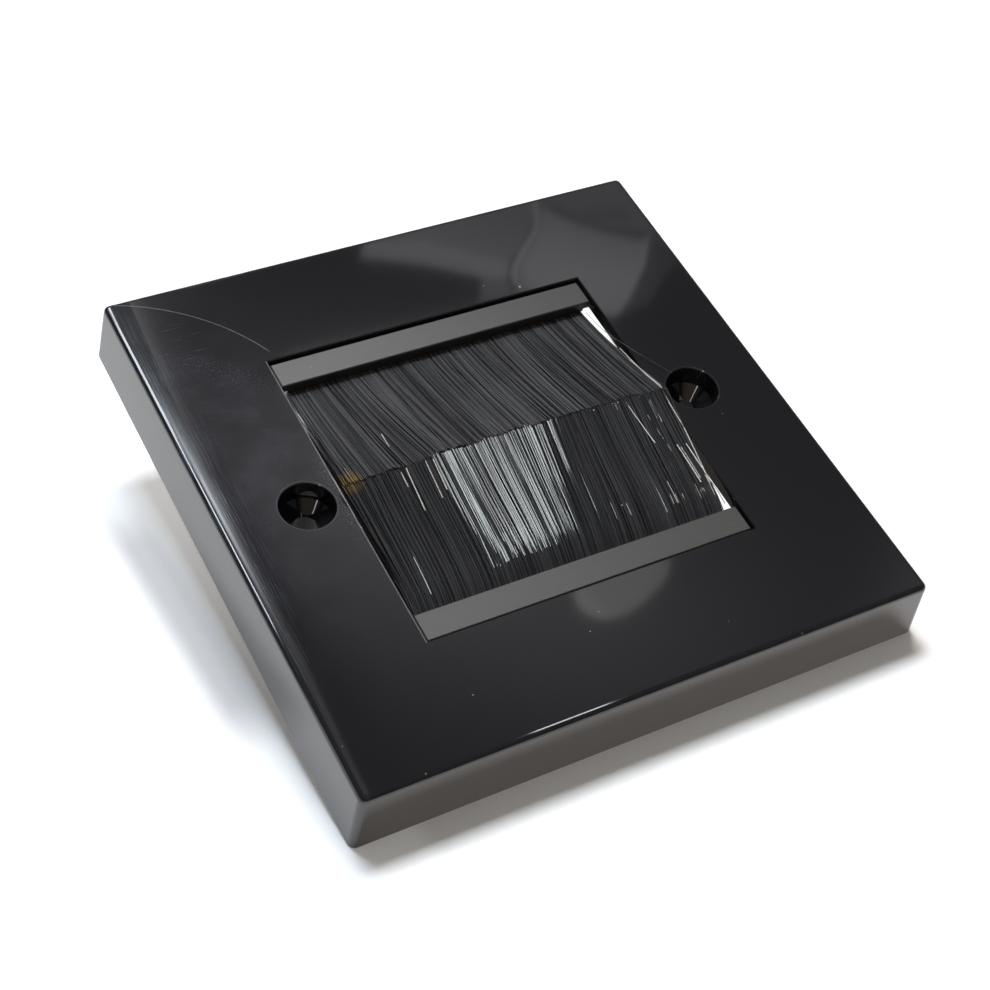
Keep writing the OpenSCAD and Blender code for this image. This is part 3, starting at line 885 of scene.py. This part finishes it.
# %% How far the tips lean to the right, measured in the photo at a few places
lean_places = np.array([-23.6, -20, -14, -10.7, -7.4, 0.8, 5, 12, 23.6]) * mm
upper_leans = np.array([-0.3, 0.6, 1.8, 1.4, 1.1, 1.15, 1.2, 1.35, 1.3]) * mm
lower_leans = np.array([-0.5, 0.0, 0.1, 0.4, 0.1, 2.2, 2.1, 1.6, 1.1]) * mm
print("tips lean up to", round(max(upper_leans.max(), lower_leans.max()) / mm, 1), "mm to the right")


# %% A smooth random curve along the comb
wander_reach = 30 * mm


def wander(rng, x, spacing, size):
    knots = np.arange(-wander_reach, wander_reach + spacing, spacing)
    values = rng.normal(0, size, len(knots))
    place = (x - knots[0]) / spacing
    index = np.clip(place.astype(int), 0, len(knots) - 2)
    part = place - index
    part = part * part * (3 - 2 * part)
    return values[index] * (1 - part) + values[index + 1] * part


# %% Clumps: a strand's tip is drawn to the middle of its clump
clump_reach, clump_scatter = 27 * mm, 0.4


def drawn_together(rng, x, spacing, most):
    middles = np.arange(-clump_reach, clump_reach, spacing)
    middles = middles + rng.uniform(-clump_scatter, clump_scatter, len(middles)) * spacing
    nearest = np.abs(x[:, None] - middles).argmin(axis=1)
    pull = rng.uniform(0, most, len(middles))[nearest]
    return (middles[nearest] - x) * pull


# %% [markdown]
# ## The pale patch
# The photo shows one pale patch on the lower comb. There is no paint in it: its strands lie
# flat and alike, so they all mirror the small window. Outside its borders, which are measured
# in the photo, the strands are turned a little about their length, and mirror the dark room.

# %% Borders of the patch, and the turn of the strands outside it
patch_y = np.array([-18.5, -17.6, -16.0, -12.8, -9.6, -3.6, 0.4]) * mm
patch_left = np.array([-8.5, -9.9, -10.9, -11.5, -11.8, -11.3, -11.2]) * mm
patch_right = np.array([-3.0, -1.4, 1.2, 3.7, 5.2, 5.9, 6.2]) * mm
patch_low = -17.1 * mm
patch_ragged, patch_fade, patch_turn = (0.7, 0.7, 1.0), 0.2 * mm, 0.045


def turned_away(rng, x, y):
    ragged = np.array(patch_ragged)[:, None] * rng.normal(0, 1, (3, len(x))) * mm
    past_left = np.interp(y, patch_y, patch_left) - x + ragged[0][:, None]
    past_right = x - np.interp(y, patch_y, patch_right) + ragged[1][:, None]
    past_low = patch_low - y + ragged[2][:, None]
    right = np.clip(np.maximum(past_right, past_low) / patch_fade, 0, 1)
    left = np.clip(np.maximum(past_left, past_low) / patch_fade, 0, 1)
    return patch_turn * np.where(past_left > 0, -left, right)


print("the patch is", round((patch_right - patch_left).max() / mm, 1), "mm wide")

# %% How the strands of a comb scatter, with lengths in millimetres
# Both combs draw the ragged seam with the same seed, so that their tips meet along it.
place_scatter, width_least, width_most = 0.3, 0.8, 1.1
sway_bend, splay_bend = 1.15, 1.6
wander_spacing, wander_size = 5, 0.18
clump_spacing, clump_pull, sway_scatter = 0.8, 0.35, 0.14
wild_share, wild_sway, wild_lift = 0.02, 0.7, 0.12
splay_start, splay_over, splay_most = 21.5, 2.2, 1.9
ragged_seed, ragged_spacing, ragged_size = 77, 1.6, 0.14
tip_gap, tip_scatter, tip_step = 0.03, 0.10, 0.25
layer_fill, layer_sink, tip_dip, height_scatter = 0.92, 0.85, 0.03, 0.045
dip_spacing, dip_size = 1.3, 0.07
run_scatter, run_spacing, run_size = 0.006, 1.1, 0.005
roll_sizes, roll_shares, roll_ripple = [0.0015, 0.012, 0.05], [0.58, 0.27, 0.15], 0.0012
# The lower comb's random tones are scaled down: painted shade, as both combs are the same filament.
upper_tone, lower_shaded_tone = 1.0, 0.55
print(round(100 * wild_share), "strands of a hundred are wild")


# %% Lines of one comb, layer by layer from the top
def comb_lines(rng, side, rise, drop, leans):
    lines, widths, rolls, tones = [], [], [], []
    pitch = 2 * root_reach / strands_across
    count = strands_across
    clump_seed = rng.integers(1000)
    for layer in range(strand_layers):
        depth = layer / (strand_layers - 1)
        x = -root_reach + pitch * (np.arange(count) + 0.5 + 0.5 * (layer % 2))
        x = np.clip(x + rng.normal(0, place_scatter, count) * pitch, -root_reach, root_reach)

        clumps = np.random.default_rng(clump_seed + layer // 2)
        sway = np.interp(x, lean_places, leans) + wander(clumps, x, wander_spacing * mm, wander_size * mm)
        sway += drawn_together(clumps, x, clump_spacing * mm, clump_pull)
        sway += rng.normal(0, sway_scatter, count) * mm
        wild = rng.random(count) < wild_share
        sway += np.where(wild, rng.normal(0, wild_sway, count), 0) * mm
        edge = np.clip((np.abs(x) - splay_start * mm) / (splay_over * mm), 0, 1)
        splay = np.sign(x) * edge ** 3 * rng.uniform(0, 1, count) ** 3 * splay_most * mm

        seam = wander(np.random.default_rng(ragged_seed), x, ragged_spacing * mm, ragged_size * mm)
        tip = side * (seam_y + seam) + rng.normal(tip_gap, tip_scatter, count) * mm + tip_step * mm * depth
        root_z = root_top_z - (root_top_z - root_low_z) * layer_fill * depth
        tip_z = crest_height(x) - drop - (tip_dip + layer_sink * depth) * mm
        tip_z += rng.normal(0, height_scatter, count) * mm + np.where(wild, wild_lift * mm, 0)
        tip_z += np.minimum(wander(clumps, x, dip_spacing * mm, dip_size * mm), 0)

        y = root_start + (tip - root_start)[:, None] * stations
        share = np.clip((bar_in_y - y) / (bar_in_y - tip)[:, None], 0, 1)
        run = usual_run + rng.normal(0, run_scatter, count) + wander(clumps, x, run_spacing * mm, run_size)
        z = np.minimum(root_z + (tip_z - root_z)[:, None] * rise(share, run[:, None]), top_z)
        across = x[:, None] + sway[:, None] * share ** sway_bend + splay[:, None] * share ** splay_bend
        lines.append(np.stack([across, side * y, z], axis=2))
        widths.append(strand_width * rng.uniform(width_least, width_most, count))

        turned = rng.choice(roll_sizes, count, p=roll_shares)
        roll = (rng.normal(0, 1, count) * turned)[:, None]
        roll = roll + rng.normal(0, roll_ripple, (count, len(stations)))
        if side < 0:
            roll += turned_away(rng, across, side * y)
        rolls.append(roll)
        tones.append(rng.random(count) * (upper_tone if side > 0 else lower_shaded_tone))
    return [np.concatenate(part) for part in (lines, widths, rolls, tones)]


# %% Single strands with a painted glint, or that lie across the others, in millimetres: start, end, width, tone
upper_singles = [
    ((-15.9, 7.4), (-16.2, 4.6), 0.16, 1.6), ((-23.4, 3.4), (-23.5, 0.4), 0.18, 1.8),
    ((24.4, 10.9), (24.5, 4.1), 0.15, 1.6), ((24.5, 4.1), (24.9, 0.6), 0.16, 1.7),
    ((24.2, 8.0), (25.1, 1.2), 0.12, 1.5),
]
lower_singles = [
    ((-17.0, -0.5), (-17.0, -2.8), 0.14, 1.7), ((-16.1, -0.2), (-16.4, -6.8), 0.16, 1.8),
    ((-13.2, -0.1), (-13.4, -5.9), 0.14, 1.7), ((-12.1, -0.2), (-12.3, -5.0), 0.14, 1.8),
    ((18.3, -0.3), (19.1, -7.5), 0.15, 1.8), ((22.1, -0.8), (21.9, -4.6), 0.2, 2.0),
    ((21.7, -1.0), (21.5, -3.9), 0.16, 1.7), ((22.1, -8.7), (22.3, -15.2), 0.18, 1.9),
    ((22.5, -9.2), (22.6, -14.6), 0.14, 1.6), ((23.5, -8.9), (23.8, -15.6), 0.18, 1.9),
    ((24.7, -0.4), (24.7, -6.1), 0.16, 1.7), ((24.7, -6.1), (23.7, -14.2), 0.16, 1.7),
    ((23.7, -14.2), (24.2, -19.0), 0.15, 1.6), ((20.4, -3.0), (20.8, -9.5), 0.12, 1.4),
]
single_lift = 0.06 * mm


def single_lines(side, singles, rise, drop):
    starts, ends, widths, tones = zip(*singles)
    lines = []
    for start, end in zip(starts, ends):
        x = np.interp(stations, (0, 1), (start[0], end[0])) * mm
        y = np.interp(stations, (0, 1), (start[1], end[1])) * mm
        share = np.clip((bar_in_y - side * y) / (bar_in_y - side * seam_y), 0, 1)
        height = (crest_height(x) - drop - root_top_z) * rise(share, usual_run)
        z = np.minimum(root_top_z + height + single_lift, top_z)
        lines.append(np.stack([x, y, z], axis=1))
    return lines, [width * mm for width in widths], list(tones)


# %% Each comb is one piece with its folded bundle
def make_comb(name, node, seed, side, rise, drop, leans, singles, extra):
    rng = np.random.default_rng(seed)
    lines, widths, rolls, tones = comb_lines(rng, side, rise, drop, leans)
    more_lines, more_widths, more_tones = single_lines(side, singles, rise, drop)
    for line, width, tone in extra:
        more_lines.append(line)
        more_widths.append(width)
        more_tones.append(tone)
    lines = np.concatenate([lines, more_lines])
    widths = np.concatenate([widths, more_widths])
    rolls = np.concatenate([rolls, np.zeros((len(more_widths), len(stations)))])
    tones = np.concatenate([tones, more_tones])
    piece = lay_strands(name, lines, widths, rolls, tones)
    bundle = root_bundle(name + "_bundle", side)
    bpy.ops.object.select_all(action="DESELECT")
    bundle.select_set(True)
    piece.select_set(True)
    bpy.context.view_layer.objects.active = piece
    bpy.ops.object.join()
    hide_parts(node)
    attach(piece, "root")


# %% The stray strand, which lies across the face to the right screw hole
stray_width, stray_tone = 0.07 * mm, 1.0
stray = np.array([(23.7, 19.5, 8.5), (23.5, 15.2, 9.5), (24.2, 11.0, 10.5), (26.1, 6.9, 10.6),
                  (28.6, 3.3, 10.2)]) * mm
along = np.linspace(0, 1, len(stray))
stray_line = np.stack([np.interp(stations, along, stray[:, axis]) for axis in range(3)], axis=1)

# %% Make the upper comb, with the stray strand, and the lower comb
upper_seed, lower_seed, lower_drop = 5, 8, 0.15 * mm
make_comb("upper_filament", "upper_bristles", upper_seed, 1, steady_rise, 0, upper_leans, upper_singles,
          [(stray_line, stray_width, stray_tone)])
make_comb("lower_filament", "lower_bristles", lower_seed, -1, quick_rise, lower_drop, lower_leans,
          lower_singles, [])
